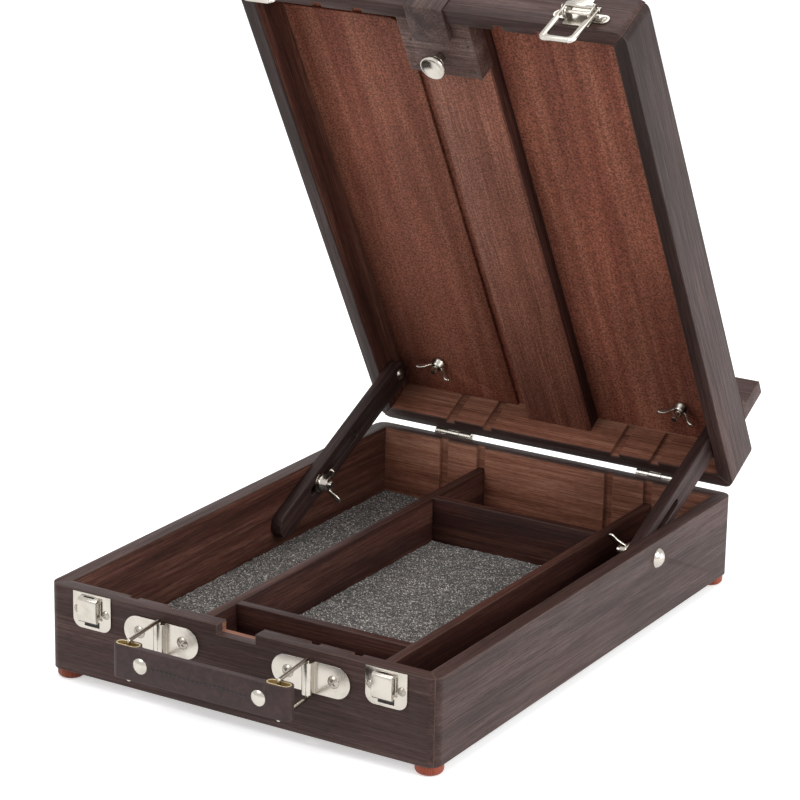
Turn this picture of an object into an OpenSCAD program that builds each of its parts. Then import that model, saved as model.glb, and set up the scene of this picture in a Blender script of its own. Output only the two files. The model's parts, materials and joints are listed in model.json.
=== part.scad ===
/* [Case] */
// Outside width of the case (mm)
case_width = 270; // [262:1:276]
// Outside depth of the case, front to hinge side (mm)
case_depth = 376; // [372:1:382]
// Height of the base without feet (mm)
base_height = 54; // [53:0.5:56]
// Height of the lid (mm)
lid_height = 32; // [31.5:0.5:34]
// Thickness of the case walls (mm)
wall = 10; // [9.5:0.1:10]
// Radius of the four upright corners (mm)
corner_r = 7.5; // [5:0.5:9]
// Thickness of the bottom and lid panels (mm)
panel_t = 4; // [3:0.5:4]
// How far the lid stands open (degrees)
lid_open = 61; // [45:0.5:68]

/* [Dividers] */
// Depth of the divider tops below the rim (mm)
divider_drop = 16; // [14:1:20]
// Thickness of the divider boards (mm)
divider_t = 6; // [5:0.5:6]
// Width of the upright grooves in the walls (mm)
groove_w = 6.6; // [6.4:0.1:7.2]
// Depth of the upright grooves (mm)
groove_d = 3; // [2:0.5:3.5]
// Thickness of the foam liners (mm)
foam_t = 4.5; // [3:0.5:6]

/* [Mast] */
// Width of the mast (mm)
mast_w = 26; // [24:1:27]
// Thickness of the mast (mm)
mast_t = 9.2; // [8:0.2:9.4]
// Width of the cover board over the mast (mm)
cover_w = 47; // [45:1:50]
// Size of the clamp block along the mast (mm)
clamp_len = 43.6; // [38:1:46]
// Radius of the clamp screw (mm)
clamp_screw_r = 3; // [2.5:0.25:3.5]

/* [Stays] */
// Width of the stay bars (mm)
stay_w = 17; // [15:1:18]
// Thickness of the stay bars (mm)
stay_t = 7.6; // [6:0.2:7.8]
// Length of a stay bar between its end radii (mm)
stay_len = 155; // [150:1:160]
// Radius of the stay bolts (mm)
bolt_r = 2.5; // [2:0.25:2.75]

/* [Handle] */
// Length of the handle (mm)
handle_len = 122; // [116:1:124]
// Height of the handle strap (mm)
handle_h = 20.5; // [16:0.5:21]
// Thickness of the handle strap (mm)
strap_t = 4; // [3:0.5:4.5]
// Distance between the two wires of a handle bail (mm)
bail_reach = 35; // [33:1:38]
// Radius of the handle wire (mm)
wire_r = 1.25; // [1:0.05:1.3]
// Angle of the handle bails from straight out (degrees)
handle_swing = 6; // [0:1:10]

/* [Hidden] */
$fn = 64;
foot_h = 6.5;
foot_r = 8.5;
rim = foot_h + base_height;
rim_gap = 0.6;
lid_z = rim + rim_gap;
in_x = case_width / 2 - wall;
in_y = case_depth / 2 - wall;
out_x = case_width / 2;
out_y = case_depth / 2;
axis_y = out_y + 3;
axis_z = rim + rim_gap / 2;
hinge_x = 77.5;
hinge_w = 28;
knuckle_r = 2.8;
pin_r = 1.2;
hinge_fit = 0.06;
leaf_t = 1.2;
leaf_h = 15;
inner_h = lid_height - panel_t;
groove_x = [-78, -49, 49, 78];
notch_w = 27;
notch_d = 6;
divider_z = foot_h + panel_t;
divider_top = rim - divider_drop;
left_div_x = -49;
right_div_x = 78;
rear_div_y = 113;
front_div_y = -117;
keeper_x = out_x - 32.5;
keeper_w = 27.5;
keeper_h = 22.5;
hook_bottom = 17;
bracket_x = 52.2;
bracket_z = rim - 16.3;
bracket_len = 53;
bracket_h = 19.5;
loop_y = -out_y - 3.6;
loop_r = 3.4;
wire_fit = 0.08;
wire_top = rim - 4.7;
wire_bottom = rim - 28.6;
handle_z = (wire_top + wire_bottom) / 2;
loop_x = 51.7;
bolt_y = 82;
bolt_z = foot_h + 42.5;
bolt_fit = 0.08;
stay_gap = 0.3;
pivot_y = 154;
pivot_z = lid_z + 11.1;
slot_start = 64;
slot_end = 121;
slot_w = 2 * bolt_r + 0.7;
ledge_y = 150;
ledge_bolt_x = out_x - 43;
ledge_bolt_r = 2;
ledge_t = 10;
ledge_h = 26;
lining_t = 2.5;
latch_x = keeper_x;
latch_pin_y = -out_y - 5;
latch_pin_z = lid_z + 7.4;
latch_ecc_y = -0.4;
latch_ecc_z = 3.6;
bail_len = 33.4;
bail_tilt = 5;
cover_t = 3;
cover_z = lid_z + 15;
rail_z = cover_z + cover_t;
rail_t = lid_z + inner_h - rail_z;
mast_z = lid_z + inner_h - 0.4 - mast_t;
mast_len = 2 * in_y - 30;
clamp_front = lid_z + 4;
clamp_y = -in_y + 0.6;
thumb_y = clamp_y + 29.4;
px = pivot_y - axis_y;
pz = pivot_z - axis_z;
rest_y = axis_y + px * cos(lid_open) + pz * sin(lid_open);
rest_z = axis_z - px * sin(lid_open) + pz * cos(lid_open);
stay_angle = atan2(rest_z - bolt_z, rest_y - bolt_y);
walnut = [0.20, 0.15, 0.15];
walnut_red = [0.30, 0.16, 0.13];
ply = [0.43, 0.26, 0.21];
nickel = [0.78, 0.76, 0.72];
black_wood = [0.13, 0.11, 0.11];
leather = [0.28, 0.22, 0.22];
foam_grey = [0.39, 0.40, 0.38];

handle_dx = bail_reach * sin(handle_swing);
handle_y = loop_y - bail_reach * cos(handle_swing);
end_r = 4.5;
far_y = axis_y + (ledge_y - axis_y) * cos(lid_open) + 5
    + (lid_z + lid_height + ledge_h - 2.5 - axis_z) * sin(lid_open);
near_y = handle_y - end_r - 1.6;
centre_y = -(far_y + near_y) / 2;

// Centres the open box on the origin, front to back
module centred() {
    translate([0, centre_y, 0])
        children();
}

// Places lid parts, drawn closed, in the open pose
module lid_pose() {
    translate([0, axis_y, axis_z])
        rotate([-lid_open, 0, 0])
            translate([0, -axis_y, -axis_z])
                children();
}

// Rounded outline of the case
module case_outline() {
    square([case_width - 2 * corner_r, case_depth], center = true);
    square([case_width, case_depth - 2 * corner_r], center = true);
    for (sx = [-1, 1])
        for (sy = [-1, 1])
            translate([sx * (out_x - corner_r), sy * (out_y - corner_r)])
                circle(r = corner_r);
}

module case_ring() {
    difference() {
        case_outline();
        square([2 * in_x, 2 * in_y], center = true);
    }
}

// Mitred sectors of the case ring
module end_sector(s) {
    polygon([[-out_x - 5, s * (out_y + 5)], [out_x + 5, s * (out_y + 5)],
        [in_x, s * in_y], [-in_x, s * in_y]]);
}

module side_sector(s) {
    polygon([[s * (out_x + 5), -out_y - 5], [s * (out_x + 5), out_y + 5],
        [s * in_x, in_y], [s * in_x, -in_y]]);
}

module end_wall(s, h) {
    linear_extrude(height = h)
        intersection() {
            case_ring();
            end_sector(s);
        }
}

module side_wall(s, h) {
    linear_extrude(height = h)
        intersection() {
            case_ring();
            side_sector(s);
        }
}

// Four upright grooves on the inside of an end wall
module grooves(s, h) {
    for (x = groove_x)
        translate([x - groove_w / 2, s * in_y - (s < 0 ? groove_d : 1), -1])
            cube([groove_w, groove_d + 1, h + 2]);
}

// Low dome on +z with a flat foot of radius r
module dome(r, h) {
    big = (r * r + h * h) / (2 * h);
    rotate_extrude()
        intersection() {
            translate([0, h - big])
                circle(r = big, $fn = 128);
            square([r, h]);
        }
}

// Low dome pointing along x, to the side s
module dome_x(r, x, h, s) {
    translate([x, 0, 0])
        rotate([0, s * 90, 0])
            dome(r, h);
}

module cyl_x(r, x0, x1) {
    translate([min(x0, x1), 0, 0])
        rotate([0, 90, 0])
            cylinder(r = r, h = abs(x1 - x0));
}

module cyl_y(r, y0, y1) {
    translate([0, max(y0, y1), 0])
        rotate([90, 0, 0])
            cylinder(r = r, h = abs(y1 - y0));
}

// Screw shanks of the front fittings, used as screw and as hole
module front_shanks(xs, z, r, len) {
    for (x = xs)
        translate([x, 0, z])
            cyl_y(r, -out_y - 1.4, -out_y + len);
}

module hinge_shanks(r) {
    for (sx = [-1, 1])
        for (dx = [-8, 8])
            translate([sx * hinge_x + dx, 0, 0])
                cyl_y(r, out_y - 6, out_y + leaf_t);
}

keeper_screw_x = [-keeper_x - 10.2, -keeper_x + 10.2, keeper_x - 10.2, keeper_x + 10.2];
bracket_screw_x = [-bracket_x - 15.4, -bracket_x + 15.4, bracket_x - 15.4,
    bracket_x + 15.4];
latch_screw_x = [-latch_x - 14.6, -latch_x + 14.6, latch_x - 14.6, latch_x + 14.6];
keeper_screw_z = rim - 11.5;
latch_screw_z = lid_z + 9;
hinge_screw_drop = 9;

module base_front_wall() {
    color(walnut)
        centred()
        difference() {
            translate([0, 0, foot_h])
                end_wall(-1, base_height);
            translate([0, 0, foot_h])
                grooves(-1, base_height);
            translate([-notch_w / 2, -out_y - 1, rim - notch_d])
                cube([notch_w, wall + 2, notch_d + 1]);
            front_shanks(keeper_screw_x, keeper_screw_z, 1.4, 6);
            front_shanks(bracket_screw_x, bracket_z, 1.6, 6);
        }
}

module base_back_wall() {
    color(walnut)
        centred()
        difference() {
            translate([0, 0, foot_h])
                end_wall(1, base_height);
            translate([0, 0, foot_h])
                grooves(1, base_height);
            translate([0, 0, rim - hinge_screw_drop])
                hinge_shanks(1.2);
        }
}

module base_side(s) {
    color(walnut)
        centred()
        difference() {
            translate([0, 0, foot_h])
                side_wall(s, base_height);
            translate([0, bolt_y, bolt_z])
                cyl_x(bolt_r + bolt_fit, s * (in_x - 1), s * (out_x + 1));
        }
}

module base_left_wall() {
    base_side(-1);
}

module base_right_wall() {
    base_side(1);
}

module base_panel() {
    color(walnut_red)
        centred()
        translate([-in_x, -in_y, foot_h])
            cube([2 * in_x, 2 * in_y, panel_t]);
}

// Low rounded feet near the corners
module base_feet() {
    color([0.51, 0.24, 0.18])
        centred()
        for (sx = [-1, 1])
            for (sy = [-1, 1])
                translate([sx * (out_x - 9.2), sy * (out_y - 9.2), 0])
                    rotate_extrude() {
                        translate([0, 3])
                            square([foot_r, foot_h - 3]);
                        square([foot_r - 3, 3.5]);
                        intersection() {
                            translate([foot_r - 3, 3])
                                circle(r = 3);
                            square([foot_r, 3.5]);
                        }
                    }
}

// Long divider board that stands in a groove at each end
module long_divider(x) {
    translate([x - divider_t / 2, -in_y - groove_d + 0.2, divider_z])
        cube([divider_t, 2 * (in_y + groove_d - 0.2), divider_top - divider_z]);
}

module cross_divider(y) {
    x0 = left_div_x + divider_t / 2;
    x1 = right_div_x - divider_t / 2;
    translate([x0, y - divider_t / 2, divider_z])
        cube([x1 - x0, divider_t, divider_top - divider_z]);
}

module divider_left() {
    color(walnut_red)
        centred()
        long_divider(left_div_x);
}

module divider_right() {
    color(walnut_red)
        centred()
        long_divider(right_div_x);
}

module divider_rear() {
    color(walnut_red)
        centred()
        cross_divider(rear_div_y);
}

module divider_front() {
    color(walnut_red)
        centred()
        cross_divider(front_div_y);
}

module foam_left() {
    color(foam_grey)
        centred()
        translate([-in_x + 0.5, -in_y + 0.5, divider_z])
            cube([left_div_x - divider_t / 2 + in_x - 1, 2 * in_y - 1, foam_t]);
}

module foam_middle() {
    x0 = left_div_x + divider_t / 2 + 0.5;
    x1 = right_div_x - divider_t / 2 - 0.5;
    y0 = front_div_y + divider_t / 2 + 0.5;
    y1 = rear_div_y - divider_t / 2 - 0.5;
    color(foam_grey)
        centred()
        translate([x0, y0, divider_z])
            cube([x1 - x0, y1 - y0, foam_t]);
}

// Keeper plate with a raised hook and the slot below it
module keeper(x) {
    color(nickel)
        centred()
        difference() {
            union() {
                translate([x, -out_y, rim - 0.5])
                    rotate([90, 0, 0])
                        linear_extrude(height = 1) {
                            translate([-keeper_w / 2, -keeper_h + 6])
                                square([keeper_w, keeper_h - 6]);
                            translate([-keeper_w / 2 + 6, -keeper_h])
                                square([keeper_w - 12, 7]);
                            for (s = [-1, 1])
                                translate([s * (keeper_w / 2 - 6), -keeper_h + 6])
                                    circle(r = 6);
                        }
                translate([x - 7.5, 0, 0])
                    rotate([90, 0, 90])
                        linear_extrude(height = 15)
                            polygon([[-out_y - 0.9, rim - 1.2], [-out_y - 3, rim - 1.6],
                                [-out_y - 4.6, rim - 4.5], [-out_y - 6, rim - hook_bottom + 3],
                                [-out_y - 6, rim - hook_bottom],
                                [-out_y - 4.6, rim - hook_bottom],
                                [-out_y - 2, rim - hook_bottom + 3.5],
                                [-out_y - 0.9, rim - hook_bottom + 3.5]]);
            }
            translate([x - 5.5, -out_y - 1.5, rim - 21.2])
                cube([11, 2, 3]);
            front_shanks(keeper_screw_x, keeper_screw_z, 1.4, 6);
        }
}

module keepers() {
    keeper(-keeper_x);
    keeper(keeper_x);
}

// Pan-head screw with a cross recess, axis along y
module front_screw(x, z, r, head_r, face_y) {
    difference() {
        union() {
            translate([x, 0, z])
                cyl_y(r, face_y, -out_y + 6);
            intersection() {
                translate([x, face_y + head_r * 1.05, z])
                    sphere(r = head_r * 1.45);
                translate([x, 0, z])
                    cyl_y(head_r, face_y, face_y - 3);
            }
        }
        for (a = [45, 135])
            translate([x, face_y - 2, z])
                rotate([0, a, 0])
                    cube([head_r * 1.2, 2.6, head_r * 0.26], center = true);
    }
}

module keeper_screws() {
    color(nickel)
        centred()
        for (x = keeper_screw_x)
            front_screw(x, keeper_screw_z, 1.4, 2.7, -out_y - 1);
}

module stadium(len, h) {
    square([len - h, h], center = true);
    for (s = [-1, 1])
        translate([s * (len - h) / 2, 0])
            circle(r = h / 2);
}

// Bracket plate with an upright tube that holds the handle wire
module handle_bracket(s) {
    color(nickel)
        centred()
        difference() {
            union() {
                translate([s * bracket_x, -out_y, bracket_z])
                    rotate([90, 0, 0])
                        linear_extrude(height = 1.2)
                            stadium(bracket_len, bracket_h);
                translate([s * loop_x, loop_y, bracket_z - bracket_h / 2])
                    cylinder(r = loop_r, h = bracket_h);
                translate([s * loop_x - loop_r, loop_y, bracket_z - bracket_h / 2])
                    cube([2 * loop_r, -out_y - loop_y, bracket_h]);
            }
            translate([s * loop_x, loop_y, bracket_z - bracket_h / 2 - 1])
                cylinder(r = wire_r + wire_fit, h = bracket_h + 2);
            front_shanks(bracket_screw_x, bracket_z, 1.6, 6);
        }
}

module handle_brackets() {
    handle_bracket(-1);
    handle_bracket(1);
}

module bracket_screws() {
    color(nickel)
        centred()
        for (x = bracket_screw_x)
            front_screw(x, bracket_z, 1.6, 3.9, -out_y - 1.2);
}

// Hinge knuckles: the lid takes the middle third, the base the outer thirds
module knuckle(x, k) {
    w = hinge_w / 3;
    translate([x + k * w, axis_y, axis_z])
        cyl_x(knuckle_r, -w / 2 + 0.15, w / 2 - 0.15);
}

module knuckle_room(x, k) {
    w = hinge_w / 3;
    translate([x + k * w, axis_y, axis_z])
        cyl_x(knuckle_r + 0.35, -w / 2 - 0.15, w / 2 + 0.15);
}

module hinge_base_leaves() {
    color(nickel)
        centred()
        for (s = [-1, 1])
            difference() {
                union() {
                    difference() {
                        translate([s * hinge_x - hinge_w / 2, out_y, rim - leaf_h])
                            cube([hinge_w, leaf_t, leaf_h]);
                        knuckle_room(s * hinge_x, 0);
                    }
                    knuckle(s * hinge_x, -1);
                    knuckle(s * hinge_x, 1);
                }
                translate([s * hinge_x, axis_y, axis_z])
                    cyl_x(pin_r, -hinge_w, hinge_w);
                translate([0, 0, rim - hinge_screw_drop])
                    hinge_shanks(1.2);
            }
}

module hinge_pins() {
    color(nickel)
        centred()
        for (s = [-1, 1])
            translate([s * hinge_x, axis_y, axis_z])
                cyl_x(pin_r, -hinge_w / 2 - 0.5, hinge_w / 2 + 0.5);
}

module hinge_screw(x, z) {
    translate([x, 0, z])
        cyl_y(1.2, out_y - 6, out_y + leaf_t);
    intersection() {
        translate([x, out_y + leaf_t - 3, z])
            sphere(r = 4);
        translate([x, 0, z])
            cyl_y(2.6, out_y + leaf_t, out_y + leaf_t + 2);
    }
}

module hinge_base_screws() {
    color(nickel)
        centred()
        for (s = [-1, 1])
            for (dx = [-8, 8])
                hinge_screw(s * hinge_x + dx, rim - hinge_screw_drop);
}

module lid_top_wall() {
    color(walnut)
        centred()
        lid_pose()
            difference() {
                translate([0, 0, lid_z])
                    end_wall(-1, lid_height);
                translate([0, 0, lid_z])
                    grooves(-1, inner_h - 1);
                translate([-notch_w / 2, -out_y - 1, lid_z - 1])
                    cube([notch_w, wall + 2, inner_h + 1]);
                front_shanks(latch_screw_x, latch_screw_z, 1.3, 6);
            }
}

module lid_bottom_wall() {
    color(walnut)
        centred()
        lid_pose()
            difference() {
                translate([0, 0, lid_z])
                    end_wall(1, lid_height);
                translate([0, 0, lid_z])
                    grooves(1, inner_h - 1);
                translate([0, 0, lid_z + hinge_screw_drop])
                    hinge_shanks(1.2);
            }
}

module lid_left_wall() {
    color(walnut)
        centred()
        lid_pose()
            translate([0, 0, lid_z])
                side_wall(-1, lid_height);
}

module lid_right_wall() {
    color(walnut)
        centred()
        lid_pose()
            translate([0, 0, lid_z])
                side_wall(1, lid_height);
}

module ledge_holes(r) {
    for (s = [-1, 1])
        translate([s * ledge_bolt_x, ledge_y, lid_z])
            cylinder(r = r, h = lid_height + ledge_h + 1);
}

module lid_panel() {
    color(ply)
        centred()
        lid_pose()
            difference() {
                translate([-in_x, -in_y, lid_z + inner_h])
                    cube([2 * in_x, 2 * in_y, panel_t]);
                ledge_holes(ledge_bolt_r);
            }
}

// Thin board in the left half of the lid, with one rounded corner
module lid_lining() {
    x1 = -cover_w / 2 - 14;
    y0 = -in_y + 24;
    color(ply)
        centred()
        lid_pose()
            difference() {
                translate([0, 0, lid_z + inner_h - lining_t])
                    linear_extrude(height = lining_t) {
                        translate([-in_x, y0])
                            square([x1 - 12 + in_x, 2 * in_y - 24]);
                        translate([-in_x, y0 + 12])
                            square([x1 + in_x, 2 * in_y - 36]);
                        translate([x1 - 12, y0 + 12])
                            circle(r = 12);
                    }
                ledge_holes(ledge_bolt_r);
            }
}

module mast_rails() {
    x0 = mast_w / 2 + 0.4;
    color(walnut_red)
        centred()
        lid_pose()
            for (s = [-1, 1])
                translate([s > 0 ? x0 : -cover_w / 2, -in_y, rail_z])
                    cube([cover_w / 2 - x0, 2 * in_y, rail_t]);
}

module mast_cover() {
    color(ply)
        centred()
        lid_pose()
            translate([-cover_w / 2, clamp_y + clamp_len, cover_z])
                cube([cover_w, in_y - clamp_y - clamp_len, cover_t]);
}

nail_y = [clamp_y + 38.9, clamp_y + 19.4];
nail_xy = [[-19, nail_y[0]], [21, nail_y[0]], [-19, nail_y[1]], [21, nail_y[1]]];

module clamp_block() {
    color(walnut_red)
        centred()
        lid_pose()
            difference() {
                translate([-25, clamp_y, clamp_front])
                    cube([50, clamp_len, rail_z - clamp_front]);
                translate([0, thumb_y, clamp_front - 1])
                    cylinder(r = clamp_screw_r + 0.08, h = 30);
                for (p = nail_xy)
                    translate([p[0], p[1], clamp_front - 1])
                        cylinder(r = 0.9, h = 9);
            }
}

module clamp_nails() {
    color([0.2, 0.2, 0.2])
        centred()
        lid_pose()
            for (p = nail_xy)
                translate([p[0], p[1], clamp_front - 0.2])
                    cylinder(r = 0.9, h = 8.2);
}

module hinge_lid_leaves() {
    color(nickel)
        centred()
        lid_pose()
            for (s = [-1, 1])
                difference() {
                    union() {
                        difference() {
                            translate([s * hinge_x - hinge_w / 2, out_y, lid_z])
                                cube([hinge_w, leaf_t, leaf_h]);
                            knuckle_room(s * hinge_x, -1);
                            knuckle_room(s * hinge_x, 1);
                        }
                        knuckle(s * hinge_x, 0);
                    }
                    translate([s * hinge_x, axis_y, axis_z])
                        cyl_x(pin_r + hinge_fit, -hinge_w, hinge_w);
                    translate([0, 0, lid_z + hinge_screw_drop])
                        hinge_shanks(1.2);
                }
}

module hinge_lid_screws() {
    color(nickel)
        centred()
        lid_pose()
            for (s = [-1, 1])
                for (dx = [-8, 8])
                    hinge_screw(s * hinge_x + dx, lid_z + hinge_screw_drop);
}

// Latch base: plate, two cheeks and the lever pin
module latch_base(s) {
    color(nickel)
        centred()
        lid_pose()
            difference() {
                union() {
                    translate([s * latch_x - 14.6, -out_y - 1.2, latch_screw_z - 3.6])
                        cube([29.2, 1.2, 7.2]);
                    for (c = [-1, 1])
                        translate([s * latch_x + c * 14.6, 0, latch_screw_z])
                            cyl_y(3.6, -out_y - 1.2, -out_y);
                    translate([s * latch_x - 8.6, -out_y - 1.2, lid_z + 0.8])
                        cube([17.2, 1.2, 18]);
                    for (c = [-1, 1]) {
                        translate([s * latch_x + c * 7.7 - 0.6, -out_y - 5, latch_pin_z - 3.2])
                            cube([1.2, 4.4, 6.4]);
                        translate([s * latch_x + c * 7.7, latch_pin_y, latch_pin_z])
                            cyl_x(3.2, -0.6, 0.6);
                    }
                    translate([s * latch_x, latch_pin_y, latch_pin_z])
                        cyl_x(1.2, -9.7, 9.7);
                }
                front_shanks(latch_screw_x, latch_screw_z, 1.3, 6);
            }
}

module latch_base_left() {
    latch_base(-1);
}

module latch_base_right() {
    latch_base(1);
}

module latch_screws() {
    color(nickel)
        centred()
        lid_pose()
            for (x = latch_screw_x)
                front_screw(x, latch_screw_z, 1.3, 2.4, -out_y - 1.2);
}

// Latch lever, shown turned up, with eccentric stubs for its bail
module latch_lever(s) {
    color(nickel)
        centred()
        lid_pose()
            translate([s * latch_x, latch_pin_y, latch_pin_z])
                difference() {
                    union() {
                        for (c = [-1, 1]) {
                            translate([c * 9, 0, 0])
                                cyl_x(3.4, -0.5, 0.5);
                            translate([c * 9 - 0.5, -3.4, 0])
                                cube([1, 3.6, 6]);
                        }
                        translate([-9.5, -3.4, 2.6])
                            cube([19, 1.2, 7.4]);
                        translate([-6.5, -3.4, 2.6])
                            cube([13, 1.2, 10.4]);
                        for (c = [-1, 1])
                            translate([c * 6.5, -3.4, 10])
                                rotate([-90, 0, 0])
                                    cylinder(r = 3, h = 1.2);
                    }
                    cyl_x(1.26, -12, 12);
                    translate([0, latch_ecc_y, latch_ecc_z])
                        cyl_x(0.72, -12, 12);
                }
}

module latch_lever_left() {
    latch_lever(-1);
}

module latch_lever_right() {
    latch_lever(1);
}

// Rivets that carry the bail on the lever, off the lever's own axis
module latch_rivets(s) {
    color(nickel)
        centred()
        lid_pose()
            translate([s * latch_x, latch_pin_y + latch_ecc_y, latch_pin_z + latch_ecc_z])
                for (c = [-1, 1]) {
                    cyl_x(0.65, c * 8.5, c * 12.1);
                    cyl_x(1.3, c * 12, c * 12.6);
                }
}

module latch_rivets_left() {
    latch_rivets(-1);
}

module latch_rivets_right() {
    latch_rivets(1);
}

// Latch bail that hooks under the keeper
module latch_bail(s) {
    color(nickel)
        centred()
        lid_pose()
            translate([s * latch_x, latch_pin_y + latch_ecc_y, latch_pin_z + latch_ecc_z])
                rotate([-bail_tilt, 0, 0])
                    difference() {
                        union() {
                            for (c = [-1, 1]) {
                                translate([c * 10.9, 0, 0])
                                    cyl_x(2, -0.9, 0.9);
                                translate([c * 10.9 - 0.9, -1.2, -bail_len])
                                    cube([1.8, 2.4, bail_len]);
                                translate([c * 10.9, 0, -bail_len])
                                    cyl_x(1.1, -0.9, 0.9);
                            }
                            translate([0, 0, -bail_len])
                                cyl_x(1.1, -11.8, 11.8);
                        }
                        cyl_x(0.72, -13, 13);
                    }
}

module latch_bail_left() {
    latch_bail(-1);
}

module latch_bail_right() {
    latch_bail(1);
}

// Bar along the outside of the lid that carries the canvas
module canvas_ledge() {
    z0 = lid_z + lid_height;
    color(walnut)
        centred()
        lid_pose()
            difference() {
                translate([-out_x, 0, 0])
                    rotate([90, 0, 90])
                        linear_extrude(height = case_width)
                            polygon([[ledge_y - ledge_t / 2 - 6, z0],
                                [ledge_y + ledge_t / 2, z0],
                                [ledge_y + ledge_t / 2, z0 + ledge_h],
                                [ledge_y - ledge_t / 2, z0 + ledge_h],
                                [ledge_y - ledge_t / 2, z0 + 5],
                                [ledge_y - ledge_t / 2 - 6, z0 + 2]]);
                ledge_holes(ledge_bolt_r);
            }
}

module ledge_bolts() {
    z0 = lid_z + lid_height + ledge_h;
    color(nickel)
        centred()
        lid_pose()
            for (s = [-1, 1])
                translate([s * ledge_bolt_x, ledge_y, 0]) {
                    translate([0, 0, lid_z + 15])
                        cylinder(r = ledge_bolt_r, h = z0 - lid_z - 15);
                    intersection() {
                        translate([0, 0, z0 - 2.5])
                            sphere(r = 5);
                        translate([0, 0, z0])
                            cylinder(r = 4.2, h = 3);
                    }
                }
}

module mast() {
    color(walnut_red)
        centred()
        lid_pose()
            translate([-mast_w / 2, -out_y + wall + 0.3, mast_z])
                cube([mast_w, mast_len, mast_t]);
}

// Block on the mast's upper end, with a flange over the clamp block
module mast_head() {
    z0 = lid_z - 2;
    y0 = -out_y - 1;
    y1 = -in_y + 0.3;
    y2 = -in_y + 15.5;
    color(walnut)
        centred()
        lid_pose() {
            translate([-mast_w / 2, y0, z0])
                cube([mast_w, y1 - y0, mast_z + mast_t - z0]);
            translate([0, 0, z0])
                linear_extrude(height = clamp_front - 0.3 - z0) {
                    translate([-mast_w / 2, y0])
                        square([mast_w, y2 - 4 - y0]);
                    translate([-mast_w / 2 + 4, y0])
                        square([mast_w - 8, y2 - y0]);
                    for (c = [-1, 1])
                        translate([c * (mast_w / 2 - 4), y2 - 4])
                            circle(r = 4);
                }
        }
}

// Clamp screw with a dished head, pressing on the mast
module thumb_screw() {
    color(nickel)
        centred()
        lid_pose()
            translate([0, thumb_y, 0])
                difference() {
                    union() {
                        translate([0, 0, lid_z - 6])
                            cylinder(r = clamp_screw_r, h = mast_z - 0.2 - lid_z + 6);
                        translate([0, 0, lid_z - 3.5])
                            cylinder(r = 5, h = 2);
                        translate([0, 0, lid_z - 8.2])
                            cylinder(r = 8.6, h = 2.6);
                    }
                    translate([0, 0, lid_z - 18.6])
                        sphere(r = 12.2);
                }
}

// Rectangular wire bail, drawn about its inner upright wire
module wire_bail(s) {
    color(nickel)
        centred()
        translate([s * loop_x, loop_y, 0])
            rotate([0, 0, handle_swing])
                for (y = [0, -bail_reach]) {
                    translate([0, y, wire_bottom])
                        cylinder(r = wire_r, h = wire_top - wire_bottom);
                    for (z = [wire_bottom, wire_top]) {
                        translate([0, y, z])
                            sphere(r = wire_r);
                        translate([0, 0, z])
                            cyl_y(wire_r, 0, -bail_reach);
                    }
                }
}

module handle_bail_left() {
    wire_bail(-1);
}

module handle_bail_right() {
    wire_bail(1);
}

end_in = loop_x - 9;
end_out = handle_len / 2;

// Flat oval outline round one handle wire
module end_oval(s, g) {
    a = end_in + end_r;
    b = end_out - end_r;
    translate([s * (a + b) / 2, 0])
        square([b - a, 2 * (end_r - g)], center = true);
    for (x = [a, b])
        translate([s * x, 0])
            circle(r = end_r - g);
}

module handle_pose() {
    translate([handle_dx, handle_y, handle_z - handle_h / 2])
        children();
}

module handle_grip() {
    color(leather)
        centred()
        handle_pose()
            difference() {
                linear_extrude(height = handle_h) {
                    translate([-end_out + end_r, -end_r])
                        square([2 * (end_out - end_r), strap_t]);
                    end_oval(-1, 0);
                    end_oval(1, 0);
                }
                translate([0, 0, -1])
                    linear_extrude(height = handle_h + 2) {
                        end_oval(-1, 1.3);
                        end_oval(1, 1.3);
                    }
                for (s = [-1, 1])
                    translate([s * (end_in - 2), 0, handle_h / 2])
                        cyl_y(1.5, -end_r - 1, 0);
            }
}

module handle_liners() {
    color([0.70, 0.58, 0.38])
        centred()
        handle_pose()
            for (s = [-1, 1])
                linear_extrude(height = handle_h)
                    difference() {
                        end_oval(s, 1.3);
                        end_oval(s, 1.9);
                    }
}

module handle_rivets() {
    color(nickel)
        centred()
        handle_pose()
            for (s = [-1, 1])
                translate([s * (end_in - 2), 0, handle_h / 2]) {
                    cyl_y(1.5, -end_r, -end_r + strap_t);
                    intersection() {
                        translate([0, -end_r + 7, 0])
                            sphere(r = 8.6);
                        cyl_y(5, -end_r, -end_r - 3);
                    }
                    cyl_y(3, -end_r + strap_t, -end_r + strap_t + 0.8);
                }
}

// Dome-head bolt with a washer, through the side of the base
module stay_bolt(s) {
    color(nickel)
        centred()
        translate([0, bolt_y, bolt_z]) {
            cyl_x(bolt_r, s * (out_x + 0.2), s * (in_x - 18));
            dome_x(6.5, s * (out_x + 0.15), 3.8, s);
            cyl_x(6.5, s * (in_x - stay_gap - stay_t - 0.2), s * (in_x - stay_gap - stay_t - 1.2));
        }
}

module stay_bolt_left() {
    stay_bolt(-1);
}

module stay_bolt_right() {
    stay_bolt(1);
}

// Places a stay with its lid end at the origin and its bar along +x
module stay_pose() {
    translate([0, rest_y, rest_z])
        rotate([180 + stay_angle, 0, 0])
            rotate([90, 0, 90])
                children();
}

module slot_outline(x0, x1, w) {
    translate([x0, -w / 2])
        square([x1 - x0, w]);
    for (x = [x0, x1])
        translate([x, 0])
            circle(r = w / 2);
}

module stay(s) {
    z0 = s > 0 ? in_x - stay_gap - stay_t : -in_x + stay_gap;
    color(black_wood)
        centred()
        stay_pose()
            difference() {
                translate([0, 0, z0])
                    linear_extrude(height = stay_t)
                        difference() {
                            slot_outline(0, stay_len, stay_w);
                            slot_outline(slot_start, slot_end, slot_w);
                        }
                translate([0, 0, z0 - 1])
                    cylinder(r = 2.2, h = stay_t + 2);
            }
}

module stay_left() {
    stay(-1);
}

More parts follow.
